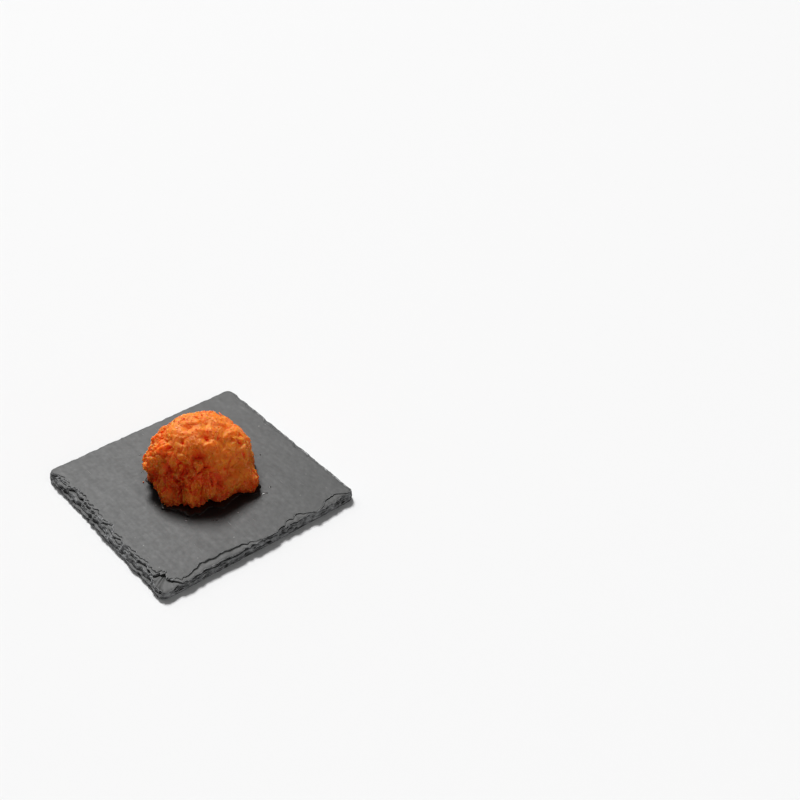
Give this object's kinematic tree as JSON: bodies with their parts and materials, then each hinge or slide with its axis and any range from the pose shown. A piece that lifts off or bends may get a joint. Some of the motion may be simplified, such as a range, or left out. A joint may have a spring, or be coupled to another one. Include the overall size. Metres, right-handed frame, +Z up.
{
  "type": "mentaiko",
  "caption": "Mound of loosened, seasoned cod roe heaped on a square split-slate plate with chipped, layered edges.",
  "frame": {"origin": "middle of the slate plate's underside", "axes": "+Z up through the plate's thickness; the plate's sides run along X and Y, with the flaked side at +X and the broad chipped bevel at -Y"},
  "size_m": [0.1006, 0.0996, 0.0338],
  "materials": {
    "slate": "matt split stone, dark where it is wet",
    "roe": "moist orange fish roe"
  },
  "bodies": {
    "root": {"slate_plate": "slate", "roe_mound": "roe"}
  },
  "joints": []
}
